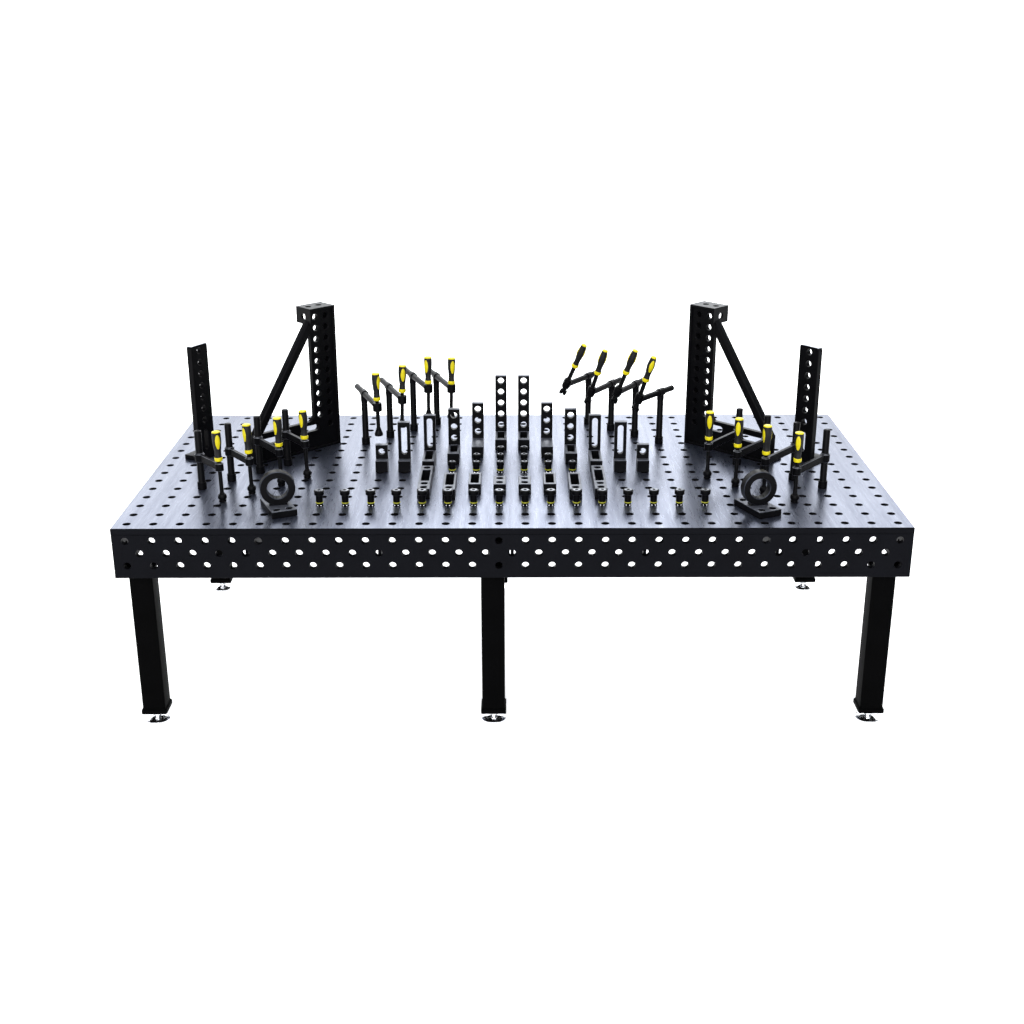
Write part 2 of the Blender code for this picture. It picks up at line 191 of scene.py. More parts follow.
def evaluated_mesh(item):
    """The mesh that an object makes with its modifiers or its curve; the object itself is removed."""
    bpy.context.view_layer.update()
    mesh = bpy.data.meshes.new_from_object(item.evaluated_get(bpy.context.evaluated_depsgraph_get()))
    bpy.data.objects.remove(item, do_unlink=True)
    return mesh


def add_loop(curve, loop, z=0.0):
    """A closed straight-sided spline through the loop's points, at height z."""
    spline = curve.splines.new("POLY")
    spline.points.add(len(loop) - 1)
    for point, (x, y) in zip(spline.points, loop):
        point.co = (x, y, z, 1.0)
    spline.use_cyclic_u = True


def skin(shape, rings):
    """Faces between each ring of corners and the next, and a lid on the first and the last."""
    sides = len(rings[0])
    for lower, upper in zip(rings, rings[1:]):
        for i in range(sides):
            j = (i + 1) % sides
            shape.faces.new((lower[i], lower[j], upper[j], upper[i]))
    shape.faces.new(rings[0])
    shape.faces.new(rings[-1])
    return to_mesh(shape)


def plate(outline, holes, thickness, rim=RIM):
    """A flat plate in its own XY plane, centred on z = 0, with through holes and chamfered edges."""
    curve = bpy.data.curves.new("plate", "CURVE")
    curve.dimensions = "2D"
    curve.fill_mode = "BOTH"
    curve.bevel_depth = rim
    curve.bevel_resolution = 0
    curve.offset = -rim
    curve.extrude = thickness / 2 - rim
    for loop in [outline] + holes:
        add_loop(curve, loop)
    shape = bmesh.new()
    shape.from_mesh(evaluated_mesh(put(bpy.data.objects.new("plate", curve))))
    bmesh.ops.remove_doubles(shape, verts=shape.verts, dist=0.00001)
    return to_mesh(shape)


def mark(mesh, along=2):
    """Chamfers take the second material and edges the third, for a plate whose faces look along this axis."""
    for face in mesh.polygons:
        tilt = abs(face.normal[along])
        face.material_index = 0 if tilt > 0.95 else 1 if tilt > 0.3 else 2
    return mesh


def lathe(profile, sides=32):
    """A turned solid about Z from (radius, z) points that start and end on the axis."""
    shape = bmesh.new()
    points = [shape.verts.new((radius, 0.0, z)) for radius, z in profile]
    edges = [shape.edges.new(pair) for pair in zip(points, points[1:])]
    bmesh.ops.spin(shape, geom=points + edges, cent=(0, 0, 0), axis=(0, 0, 1), angle=2 * math.pi,
                   steps=sides, use_duplicate=False)
    bmesh.ops.remove_doubles(shape, verts=shape.verts, dist=0.00001)
    return to_mesh(shape)


def block(low, high, radius=0.0008, segments=2):
    """A box with rounded edges."""
    shape = bmesh.new()
    bmesh.ops.create_cube(shape, size=1.0)
    low, high = Vector(low), Vector(high)
    size = high - low
    bmesh.ops.scale(shape, vec=size, verts=shape.verts)
    bmesh.ops.translate(shape, vec=low + size / 2, verts=shape.verts)
    bmesh.ops.bevel(shape, geom=list(shape.edges), offset=radius, segments=segments, affect="EDGES",
                    profile=0.5)
    return to_mesh(shape)


def tube(start, end, radius, chamfer=0.001):
    """A round bar with chamfered ends."""
    start, end = Vector(start), Vector(end)
    length = (end - start).length
    mesh = lathe([(0, length), (radius - chamfer, length), (radius, length - chamfer),
                  (radius, chamfer), (radius - chamfer, 0), (0, 0)])
    mesh.transform(Matrix.Translation(start) @ (end - start).to_track_quat("Z", "Y").to_matrix().to_4x4())
    return mesh


def thread(radius, low, high, pitch=0.004):
    """A threaded rod about Z: its radius rises and falls along a helix."""
    shape = bmesh.new()
    rows = round((high - low) / (pitch / 4))
    rings = []
    for row in range(rows + 1):
        z = low + (high - low) * row / rows
        loop = []
        for i in range(THREAD_SIDES):
            turn = i / THREAD_SIDES
            wave = abs(((z / pitch - turn) % 1) * 2 - 1)
            here = radius - THREAD_DEPTH * (1 - wave)
            angle = turn * 2 * math.pi
            loop.append(shape.verts.new((here * math.cos(angle), here * math.sin(angle), z)))
        rings.append(loop)
    return skin(shape, rings)


def ball(radius, middle, sides=20):
    profile = [(radius * math.sin(a), middle + radius * math.cos(a))
               for a in (math.pi * i / 12 for i in range(13))]
    profile[0] = (0, middle + radius)
    profile[-1] = (0, middle - radius)
    return lathe(profile, sides)


def joined(*meshes):
    """Several closed shells in one mesh."""
    shape = bmesh.new()
    for mesh in meshes:
        shape.from_mesh(mesh)
    mesh = bpy.data.meshes.new("joined")
    shape.to_mesh(mesh)
    shape.free()
    return smooth(mesh)


def moved(mesh, matrix):
    mesh = mesh.copy()
    mesh.transform(matrix)
    return mesh


def shift(x, y, z):
    return Matrix.Translation((x, y, z))


def turn_about(axis, degrees):
    return Matrix.Rotation(math.radians(degrees), 4, axis)


def piece(name, mesh, paints, place, body, replaced=()):
    """One visible piece: it rides on its body, and stands for the CAD nodes it replaces."""
    item = put(bpy.data.objects.new(name, mesh))
    for paint in paints:
        mesh.materials.append(paint)
    item.matrix_world = place
    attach(item, body)
    if replaced:
        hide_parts(*replaced)
    return item


# ---- materials -----------------------------------------------------------------------------

class Paint:
    """A Principled material with small helpers for its procedural detail."""

    def __init__(self, name, metallic, specular=0.5):
        self.made = bpy.data.materials.new(name)
        self.made.use_nodes = True
        self.nodes = self.made.node_tree.nodes
        self.links = self.made.node_tree.links
        self.shader = self.nodes["Principled BSDF"]
        self.shader.inputs["Metallic"].default_value = metallic
        self.shader.inputs["Specular IOR Level"].default_value = specular
        self.place = self.nodes.new("ShaderNodeTexCoord")

    def noise(self, scale, stretch=(1, 1, 1), detail=4.0):
        sized = self.nodes.new("ShaderNodeMapping")
        sized.inputs["Scale"].default_value = stretch
        self.links.new(self.place.outputs["Object"], sized.inputs["Vector"])
        field = self.nodes.new("ShaderNodeTexNoise")
        field.inputs["Scale"].default_value = scale
        field.inputs["Detail"].default_value = detail
        field.inputs["Roughness"].default_value = 0.6
        self.links.new(sized.outputs["Vector"], field.inputs["Vector"])
        return field.outputs["Fac"]

    def colour(self, source, dark, light):
        ramp = self.nodes.new("ShaderNodeValToRGB")
        ramp.color_ramp.elements[0].position = NOISE_LOW
        ramp.color_ramp.elements[0].color = (*dark, 1)
        ramp.color_ramp.elements[1].position = NOISE_HIGH
        ramp.color_ramp.elements[1].color = (*light, 1)
        self.links.new(source, ramp.inputs["Fac"])
        self.links.new(ramp.outputs["Color"], self.shader.inputs["Base Color"])

    def rough(self, source, low, high):
        """Roughness that runs from low to high as the source does."""
        change = self.nodes.new("ShaderNodeMapRange")
        limits = {"From Min": NOISE_LOW, "From Max": NOISE_HIGH, "To Min": low, "To Max": high}
        for name, value in limits.items():
            change.inputs[name].default_value = value
        self.links.new(source, change.inputs["Value"])
        self.links.new(change.outputs["Result"], self.shader.inputs["Roughness"])

    def bump(self, source, strength, distance=0.001):
        relief = self.nodes.new("ShaderNodeBump")
        relief.inputs["Strength"].default_value = strength
        relief.inputs["Distance"].default_value = distance
        self.links.new(source, relief.inputs["Height"])
        self.links.new(relief.outputs["Normal"], self.shader.inputs["Normal"])


def make_top_steel():
    """Ground and oiled plate: brushed bands and fine strokes along Y."""
    paint = Paint("top_steel", 0.85)
    bands = paint.noise(10, (3.0, 0.15, 1.0), detail=7.0)
    strokes = paint.noise(60, (6.0, 0.25, 1.0))
    paint.colour(bands, (0.046, 0.056, 0.094), (0.118, 0.130, 0.172))
    paint.rough(strokes, 0.25, 0.36)
    paint.bump(strokes, 0.15, 0.0004)
    return paint.made


def make_dark(name, metallic, specular, dark, light, rough, grain):
    """Blackened or painted steel with a faint mottle and a fine grain."""
    paint = Paint(name, metallic, specular)
    paint.colour(paint.noise(9, detail=5.0), dark, light)
    fine = paint.noise(grain, detail=3.0)
    paint.rough(fine, *rough)
    paint.bump(fine, 0.08, 0.0003)
    return paint.made


def make_ground(name, metallic, specular, dark, light):
    """The bare metal of chamfers and ground faces, lighter than the black steel: on the flat arms' and rings'
    chamfers partly a painted highlight, on the bolt rings and upward top faces a painted highlight.
    """
    paint = Paint(name, metallic, specular)
    paint.colour(paint.noise(40), dark, light)
    paint.rough(paint.noise(220, (1, 8, 1)), 0.28, 0.42)
    return paint.made


def make_chrome():
    paint = Paint("chrome", 1.0)
    paint.colour(paint.noise(25), (0.78, 0.79, 0.81), (0.92, 0.92, 0.93))
    paint.rough(paint.noise(60), 0.10, 0.24)
    return paint.made


def make_rubber():
    paint = Paint("grip_rubber", 0.0, 0.2)
    paint.colour(paint.noise(40), (0.007, 0.007, 0.007), (0.017, 0.017, 0.018))
    fine = paint.noise(900, detail=2.0)
    paint.rough(fine, 0.45, 0.62)
    paint.bump(fine, 0.25, 0.0004)
    return paint.made


def make_yellow():
    paint = Paint("grip_yellow", 0.0, 0.4)
    paint.colour(paint.noise(70), (0.86, 0.70, 0.004), (0.96, 0.82, 0.008))
    fine = paint.noise(600, detail=2.0)
    paint.rough(fine, 0.34, 0.46)
    paint.bump(fine, 0.12, 0.0003)
    return paint.made


def make_seal():
    paint = Paint("seal_rubber", 0.0, 0.5)
    paint.colour(paint.noise(120), (0.30, 0.30, 0.010), (0.46, 0.45, 0.020))
    paint.rough(paint.noise(300), 0.4, 0.55)
    return paint.made


def make_floor_paint():
    paint = Paint("floor_paint", 0.0, 0.0)
    paint.colour(paint.noise(0.6, detail=5.0), (0.93, 0.93, 0.93), (0.95, 0.95, 0.95))
    paint.rough(paint.noise(40, detail=3.0), 0.85, 0.95)
    paint.shader.inputs["Emission Color"].default_value = (1, 1, 1, 1)
    paint.shader.inputs["Emission Strength"].default_value = 0.72
    return paint.made


STEEL = make_top_steel()
WALL = make_dark("wall_steel", 0.0, 0.05, (0.0022, 0.0024, 0.0040), (0.0038, 0.0042, 0.0064),
                 (0.40, 0.52), 260)
BLACK = make_dark("black_steel", 0.0, 0.05, (0.0030, 0.0030, 0.0036), (0.0056, 0.0056, 0.0066),
                  (0.28, 0.42), 320)
PAINTED = make_dark("leg_paint", 0.0, 0.015, (0.0010, 0.0010, 0.0011), (0.0020, 0.0020, 0.0022),
                    (0.45, 0.60), 420)
# Near-black paint for the walls and chamfers of bores and the flat arms' sides: painted shade in the bores
# and on the arms' sides
SHADE_PAINT = make_dark("painted_shade_black", 0.0, 0.05, (0.0016, 0.0016, 0.0022), (0.0030, 0.0030, 0.0040),
                 (0.45, 0.60), 300)
ROUND_BAR = make_dark("round_bar", 0.0, 0.05, (0.0036, 0.0036, 0.0046), (0.0070, 0.0070, 0.0086),
                      (0.36, 0.46), 300)
# Lighter metal for the heavy rings' chamfers: ground metal, partly a painted highlight
RIM_GROUND_AND_HIGHLIGHT = make_ground("rim_ground_and_highlight", 0.5, 0.2, (0.030, 0.033, 0.044), (0.055, 0.060, 0.078))
# Lighter metal for the flat arms' chamfers, partly a painted highlight, and for the bolt heads' top rings, a
# painted highlight
EDGE_HIGHLIGHT = make_ground("ground_edge_highlight", 0.6, 0.3, (0.12, 0.125, 0.14), (0.22, 0.23, 0.26))
# Very light metal for the tall stops' upward faces at their tops: a painted highlight
BRIGHT_TOP_HIGHLIGHT = make_ground("bright_highlight", 0.8, 0.5, (0.34, 0.35, 0.38), (0.48, 0.49, 0.53))
# Lighter metal for the upward top faces of squares, straps and ring blocks: a painted highlight
TOP_FACE_HIGHLIGHT = make_ground("face_highlight", 0.4, 0.15, (0.060, 0.065, 0.080), (0.110, 0.116, 0.140))
CHROME = make_chrome()
RUBBER = make_rubber()
YELLOW = make_yellow()
SEAL = make_seal()


# ---- the table -----------------------------------------------------------------------------

def grid_lines(length, first=GRID / 2):
    """Hole places along a side of this length, one grid step apart, centred on the side."""
    count = round((length - 2 * first) / GRID) + 1
    return [-length / 2 + first + i * GRID for i in range(count)]


def wall_holes(length):
    """Three rows below the top, the middle one half a step out of line with the others."""
    holes = []
    for row, drop in enumerate(WALL_ROWS):
        first = GRID if row == 1 else GRID / 2
        holes += [ring(x, -drop, BORE) for x in grid_lines(length, first)]
    return holes


def add_box():
    holes = [ring(x, y, BORE) for y in grid_lines(DEPTH) for x in grid_lines(LENGTH)]
    mesh = plate(rectangle(-LENGTH / 2, -DEPTH / 2, LENGTH / 2, DEPTH / 2), holes, PLATE, 0.0015)
    # The bores' walls and chamfers take the near-black paint, which is painted shade in the bores; the
    # plate's outer sides take the wall steel
    for face in mark(mesh).polygons:
        outer = abs(face.center.x) > LENGTH / 2 - 0.001 or abs(face.center.y) > DEPTH / 2 - 0.001
        if outer and face.material_index == 2:
            face.material_index = 3
    piece("top_plate_fine", mesh, [STEEL, SHADE_PAINT, SHADE_PAINT, WALL], shift(0, 0, TOP - PLATE / 2), "root",
          ["top_plate"])
    upper = -PLATE - GAP
    inner = DEPTH / 2 - PLATE - GAP
    for name, half, side in (("front_wall", LENGTH / 2, -1), ("back_wall", LENGTH / 2, 1),
                             ("left_wall", inner, -1), ("right_wall", inner, 1)):
        long_wall = half > inner
        outline = rectangle(-half, -BOX_HEIGHT, half, upper)
        mesh = plate(outline, wall_holes(LENGTH if long_wall else DEPTH), PLATE)
        stand = turn_about("X", 90)
        if long_wall:
            place = shift(0, side * (DEPTH / 2 - PLATE / 2), TOP) @ stand
        else:
            place = shift(side * (LENGTH / 2 - PLATE / 2), 0, TOP) @ turn_about("Z", 90) @ stand
        # The hole walls and edges of the walls take the near-black paint, which is painted shade in the holes
        piece(f"{name}_fine", mark(mesh), [WALL, WALL, SHADE_PAINT], place, "root", [name])


def add_ribs():
    for i in range(1, 6):
        low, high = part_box(f"cross_rib_{i}")
        piece(f"cross_rib_{i}_fine", block(low, high, 0.001), [WALL], Matrix.Identity(4), "root",
              [f"cross_rib_{i}"])


def leg_mesh(low, high, stub):
    """A tube with rounded corners, its flange and bolts in the box, and its base plate."""
    half, base = LEG_HALF, LEG_BASE_HALF
    top = TOP - BOX_HEIGHT + GAP + 0.010
    foot = low + LEG_BASE_HEIGHT
    upright = plate(round_rectangle(-half, -half, half, half, 0.008), [], top - foot, 0.0004)
    base_plate = plate(round_rectangle(-base, -base, base, base, 0.006), [], LEG_BASE_HEIGHT, 0.0015)
    flange = block((-LEG_FLANGE_WIDE, -LEG_FLANGE_DEEP, top),
                   (LEG_FLANGE_WIDE, LEG_FLANGE_DEEP, top + LEG_FLANGE_HEIGHT), 0.001)
    parts = [moved(upright, shift(0, 0, (top + foot) / 2)),
             moved(base_plate, shift(0, 0, low + LEG_BASE_HEIGHT / 2)), flange]
    for x in (-0.035, 0.035):
        for y in (-0.058, 0.058):
            screw = lathe([(0, 0.008), (0.007, 0.008), (0.008, 0.007), (0.008, 0), (0, 0)], 6)
            parts.append(moved(screw, shift(x, y, top + LEG_FLANGE_HEIGHT)))
    if stub:
        parts.append(block((-0.017, -0.03, top + 0.005), (0.0647, 0.03, high), 0.002))
    edge = half + 0.003
    weld = plate(round_rectangle(-edge, -edge, edge, edge, 0.009), [], 0.005, 0.0022)
    parts.append(moved(weld, shift(0, 0, foot + 0.002)))
    return joined(*parts)


def foot_mesh(reach):
    """A dished disc on the floor, a ball joint, a lock nut and the threaded stem above it."""
    disc = [(0, 0.014), (0.013, 0.014), (0.018, 0.0125), (0.040, 0.0085), (0.0475, 0.007),
            (0.0495, 0.0055), (0.05, 0.0035), (0.0495, 0.0008), (0.048, 0.0), (0, 0.0)]
    socket = [(0, 0.027), (0.012, 0.027), (0.0145, 0.025), (0.0155, 0.021), (0.0145, 0.016),
              (0.013, 0.012), (0, 0.012)]
    nut = [(0, 0.040), (0.0145, 0.040), (0.017, 0.0385), (0.017, 0.0285), (0.0145, 0.027), (0, 0.027)]
    return joined(lathe(disc, 64), lathe(socket, 32), lathe(nut, 6), thread(0.010, 0.036, reach, 0.003))


def add_legs():
    for row in ("front", "back"):
        for side in ("left", "middle", "right"):
            leg = f"leg_{row}_{side}"
            foot = f"foot_{row}_{side}"
            low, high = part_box(leg)
            sole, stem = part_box(foot)
            at = shift((sole.x + stem.x) / 2, (sole.y + stem.y) / 2, 0)
            mesh = leg_mesh(low.z, high.z, side == "middle")
            piece(f"{leg}_fine", mesh, [PAINTED], at, "root", [leg])
            piece(f"{foot}_fine", foot_mesh(stem.z), [CHROME], at, foot, [foot])


# ---- screw clamps --------------------------------------------------------------------------

def post_mesh(top):
    """A round post with its collar on the table and its pin in the bore."""
    profile = [(0, top), (0.0105, top), (0.0130, top - 0.0012), (POST_RADIUS, top - 0.003),
               (POST_RADIUS, 0.033), (0.0150, COLLAR_TOP), (0.0172, COLLAR_TOP), (0.0182, 0.0285),
               (0.0182, 0.022), (0.0175, 0.021), (0.0175, 0.0195), (0.0182, 0.0185), (0.0182, 0.0018),
               (0.0172, 0.0006), (0.0134, 0.0006), (0.0134, -0.043), (0.0120, -0.0448), (0, -0.0448)]
    return lathe(profile, 36)


def bar_arm_mesh(reach):
    """The flat arm: a round sleeve on the post, a bar with ground edges that are also lightened as a painted
    highlight, and the spindle's boss.
    """
    half = 0.006
    sleeve = 0.0195
    boss = 0.0165
    lean = math.degrees(math.asin(half / sleeve))
    tip = math.degrees(math.asin(half / boss))
    outline = arc(0, 0, sleeve, lean, 360 - lean, 22) + arc(reach, 0, boss, tip - 180, 180 - tip, 20)
    arm = plate(outline, [], BAR_ARM_HEIGHT, 0.0013)
    collars = [moved(plate(ring(0, 0, 0.0172, 32), [], 0.006, 0.001), shift(0, 0, side * 0.0155))
               for side in (-1, 1)]
    collars.append(moved(plate(ring(reach, 0, 0.0125, 32), [], 0.006, 0.001), shift(0, 0, 0.0155)))
    return mark(joined(arm, *collars))


def tube_arm_mesh(reach, tail):
    """The round arm with its cross sleeve on the post."""
    arm = lathe([(0, reach), (TUBE_RADIUS, reach), (TUBE_RADIUS, 0.004 - tail), (0.0095, -tail),
                 (0.0075, -tail), (0.0070, 0.002 - tail), (0, 0.002 - tail)])
    arm = moved(arm, turn_about("Y", 90))
    sleeve = tube((-0.020, 0, 0), (0.020, 0, 0), 0.0165, 0.002)
    neck = tube((0, 0, -0.036), (0, 0, -0.004), 0.0150, 0.0015)
    lock = tube((0, 0.012, 0), (0, 0.0185, 0), 0.005, 0.0008)
    return joined(arm, sleeve, neck, lock)


def boss_mesh(half, ribbed):
    """The arm's end round the spindle, about Z: an eight-sided block, or a knurled barrel."""
    if not ribbed:
        block_shape = [(0, half), (0.0180, half), (0.0202, half - 0.002), (0.0202, 0.002 - half),
                       (0.0180, -half), (0, -half)]
        return moved(lathe(block_shape, 8), turn_about("Z", 22.5))
    profile = [(0, half), (0.0145, half), (0.0165, half - 0.002), (0.0165, half - 0.007),
               (0.0188, half - 0.009), (0.0188, 0.009 - half), (0.0165, 0.007 - half),
               (0.0165, 0.002 - half), (0.0145, -half), (0, -half)]
    return ribs(lathe(profile, 48), 0.009 - half, half - 0.009, 7.5, 0.94)


def ribs(mesh, low, high, step, depth):
    """Every second corner between two heights drawn in, which leaves ribs along Z."""
    for corner in mesh.vertices:
        turn = math.degrees(math.atan2(corner.co.y, corner.co.x))
        if low - 0.0001 < corner.co.z < high + 0.0001 and round(turn / step) % 2:
            corner.co.x *= depth
            corner.co.y *= depth
    return mesh


def ball_pad():
    """A ribbed ball with a flat sole."""
    mesh = lathe([(0, 0.036), (0.0085, 0.036), (0.0105, 0.034), (0.0105, 0.031), (0.0145, 0.029),
                  (0.0172, 0.024), (0.018, 0.018), (0.0165, 0.0125), (0.0130, 0.009), (0.0130, 0.007),
                  (0.0150, 0.006), (0.0150, 0.001), (0.0140, 0.0), (0, 0.0)], 24)
    return ribs(mesh, 0.0115, 0.0285, 15, 0.93)


def cone_pad():
    """A bell-shaped pressure pad."""
    return lathe([(0, 0.034), (0.0090, 0.034), (0.0105, 0.032), (0.0105, 0.026), (0.0125, 0.0235),
                  (0.0165, 0.0125), (0.0178, 0.008), (0.0178, 0.002), (0.0168, 0.0), (0.0140, 0.0),
                  (0.0130, 0.0015), (0, 0.0015)], 32)


def prong_pad():
    """A star-shaped pad with four prongs round a small ball."""
    parts = [ball(0.0125, 0.0155), lathe([(0, 0.028), (0.0100, 0.028), (0.0110, 0.026), (0.0110, 0.020),
                                          (0, 0.020)], 24)]
    for i in range(4):
        prong = block((0.006, -0.0055, 0.0), (0.0180, 0.0055, 0.015), 0.0015)
        parts.append(moved(prong, turn_about("Z", 45 + 90 * i)))
    return joined(*parts)


def grip_radius(t, taper):
    """Radius of the handle's grip at t from its collar to its cap; taper narrows its outer end."""
    stations = [(0.0, 0.0138), (0.08, 0.0128), (0.20, 0.0126), (0.40, 0.0148), (0.60, 0.0170),
                (0.76, 0.0176), (0.92, 0.0172), (1.0, 0.0164)]
    for (t0, r0), (t1, r1) in zip(stations, stations[1:]):
        if t <= t1:
            s = (t - t0) / (t1 - t0)
            return r0 + (r1 - r0) * s * s * (3 - 2 * s) - taper * max(0.0, t - 0.6) / 0.4
    return stations[-1][1] - taper


def grip_mesh(length, taper):
    """The black grip, with shallow flutes along it."""
    low, high = HANDLE_COLLAR, length - HANDLE_CAP
    shape = bmesh.new()
    steps = 26
    rings = []
    for row in range(steps + 1):
        t = row / steps
        loop = []
        for i in range(GRIP_SIDES):
            angle = 2 * math.pi * i / GRIP_SIDES
            flute = 0.0005 * max(0.0, math.cos(6 * angle)) * math.sin(math.pi * t)
            here = grip_radius(t, taper) - flute
            loop.append(shape.verts.new((here * math.cos(angle), here * math.sin(angle),
                                         low + (high - low) * t)))
        rings.append(loop)
    return skin(shape, rings)


def inlay_mesh(length, side, taper):
    """An oval inlay that follows the grip and stands a little proud of it."""
    low, high = HANDLE_COLLAR, length - HANDLE_CAP
    middle, reach, spread = 0.64, 0.29, math.radians(34)
    shape = bmesh.new()
    rows, sides = 5, 28
    top = []
    for row in range(rows + 1):
        share = row / rows
        lift = 0.0011 * (1 - share ** 4) + 0.0001
        outer = []
        for i in range(sides):
            around = 2 * math.pi * i / sides
            t = middle + reach * share * math.sin(around)
            angle = side + spread * share * math.cos(around)
            here = grip_radius(t, taper) + lift
            z = low + (high - low) * t
            outer.append((here * math.cos(angle), here * math.sin(angle), z))
        top.append(outer)
    loops = [[shape.verts.new(point) for point in loop] for loop in top[1:]]
    centre = shape.verts.new(top[0][0])
    for i in range(sides):
        j = (i + 1) % sides
        shape.faces.new((centre, loops[0][i], loops[0][j]))
        for inner, outer in zip(loops, loops[1:]):
            shape.faces.new((inner[i], outer[i], outer[j], inner[j]))
    under = []
    for corner in loops[-1]:
        point = corner.co
        shrink = 1 - 0.0025 / math.hypot(point.x, point.y)
        under.append(shape.verts.new((point.x * shrink, point.y * shrink, point.z)))
    back = shape.verts.new(Vector(top[0][0]) * 0.8 + Vector((0, 0, top[0][0][2] * 0.2)))
    for i in range(sides):
        j = (i + 1) % sides
        shape.faces.new((loops[-1][i], under[i], under[j], loops[-1][j]))
        shape.faces.new((back, under[j], under[i]))
    return to_mesh(shape)


def trim_mesh(length, taper):
    """The yellow collar, cap and the two inlays of a handle."""
    collar = lathe([(0, HANDLE_COLLAR), (0.0142, HANDLE_COLLAR), (0.0155, HANDLE_COLLAR - 0.0014),
                    (0.0160, 0.007), (0.0150, 0.001), (0.0135, 0.0), (0, 0.0)], GRIP_SIDES)
    under = length - HANDLE_CAP
    cap = lathe([(0, length), (0.0095 - taper, length), (0.0138 - taper, length - 0.0008),
                 (0.0164 - taper, length - 0.0024), (0.0171 - taper, length - 0.0045),
                 (0.0169 - taper, under), (0, under)], GRIP_SIDES)
    return joined(collar, cap, inlay_mesh(length, 0.0, taper), inlay_mesh(length, math.pi, taper))


def clamp_places(name):
    """The clamp's bore, the spindle's axis, sole and handle, and the middle of the arm's boss."""
    joints = {joint["child"]: joint for joint in frame["joints"]}
    bore = Vector(joints[name]["pos_m"])
    axis = Vector(joints[f"{name}_screw"]["axis"]).normalized()
    corners = [vertex.co for vertex in frame["nodes"][f"{name}_spindle"].data.vertices]
    middle = sum(corners, Vector()) / len(corners)
    along = [(corner - middle).dot(axis) for corner in corners]
    sole = middle + axis * min(along)
    near = []
    for vertex in frame["nodes"][f"{name}_frame"].data.vertices:
        lift = (vertex.co - sole).dot(axis)
        if (vertex.co - sole - axis * lift).length < SPINDLE_SEARCH:
            near.append(lift)
    boss = sole + axis * (min(near) + max(near)) / 2
    return bore, axis, sole, max(along) - min(along) - HANDLE_LENGTH, boss


def stand_on(point, axis, facing):
    """A frame at point with Z along axis and X turned to facing, in degrees from -Y towards +X."""
    towards = Vector((math.sin(math.radians(facing)), -math.cos(math.radians(facing)), 0))
    x = (towards - axis * towards.dot(axis)).normalized()
    y = axis.cross(x)
    turned = Matrix((x, y, axis)).transposed().to_4x4()
    return Matrix.Translation(point) @ turned


# For each row: how far each handle's inlay is turned from the operator, the pad's form, the arm's tail
CLAMP_LOOKS = {
    "bar_clamp_left": ((24, -40, -37, -30), "ball", (0, 0, 0, 0)),
    "bar_clamp_right": ((-20, -72, -20, -8), "ball", (0, 0, 0, 0)),
    "tube_clamp_left": ((50, 15, -30, 20), "cone", (0.128, 0.128, 0.128, 0.128)),
    "tube_clamp_right": ((5, 78, 80, 75), "prong", (0.092, 0.078, 0.082, 0.068)),
}


def add_clamps():
    pads = {"ball": ball_pad(), "cone": cone_pad(), "prong": prong_pad()}
    for row, (facings, pad, tails) in CLAMP_LOOKS.items():
        for i, (facing, tail) in enumerate(zip(facings, tails)):
            name = f"{row}_{i + 1}"
            bore, axis, sole, start, boss = clamp_places(name)
            add_clamp_frame(name, pad, bore, axis, boss, tail)
            seat = stand_on(sole, axis, facing)
            radius = THICK_SCREW_RADIUS if pad == "prong" else SCREW_RADIUS
            screw = thread(radius, 0.024, start + 0.004)
            piece(f"{name}_screw_fine", joined(screw, pads[pad]), [BLACK], seat, f"{name}_screw",
                  [f"{name}_spindle"])
            grip = seat @ shift(0, 0, start)
            taper = GRIP_TAPER if pad == "prong" else 0.0
            piece(f"{name}_grip", grip_mesh(HANDLE_LENGTH, taper), [RUBBER], grip, f"{name}_screw")
            piece(f"{name}_trim", trim_mesh(HANDLE_LENGTH, taper), [YELLOW], grip, f"{name}_screw")


def add_clamp_frame(name, pad, bore, axis, boss, tail):
    """The post and the arm; a bar's arm is square to the spindle, a tube's arm is level."""
    arm = boss - axis * (BARREL_LIFT if pad == "prong" else 0.0) - bore
    heading = Vector((arm.x, arm.y, 0)).normalized()
    place = Matrix.Translation(bore) @ Matrix.Rotation(math.atan2(arm.y, arm.x), 4, "Z")
    lean = math.asin(-axis.dot(heading)) if pad == "ball" else 0.0
    reach = math.hypot(arm.x, arm.y) / math.cos(lean)
    height = arm.z - reach * math.sin(lean)
    level = place @ shift(0, 0, height) @ Matrix.Rotation(-lean, 4, "Y")
    post_top = BAR_POST_TOP if pad == "ball" else height - 0.010
    piece(f"{name}_post", post_mesh(post_top), [BLACK], place, name, [f"{name}_frame"])
    if pad == "ball":
        # The arm's sides take the near-black paint, a painted shade; its chamfers take the lighter edge
        # paint, partly a painted highlight
        piece(f"{name}_arm", bar_arm_mesh(reach), [BLACK, EDGE_HIGHLIGHT, SHADE_PAINT], level, name)
        return
    piece(f"{name}_arm", tube_arm_mesh(reach - 0.012, tail), [ROUND_BAR], level, name)
    half = 0.018 if pad == "cone" else 0.023
    piece(f"{name}_boss", boss_mesh(half, pad == "prong"), [BLACK], stand_on(boss, axis, 0), name)


# ---- angle brackets and tall stops ---------------------------------------------------------

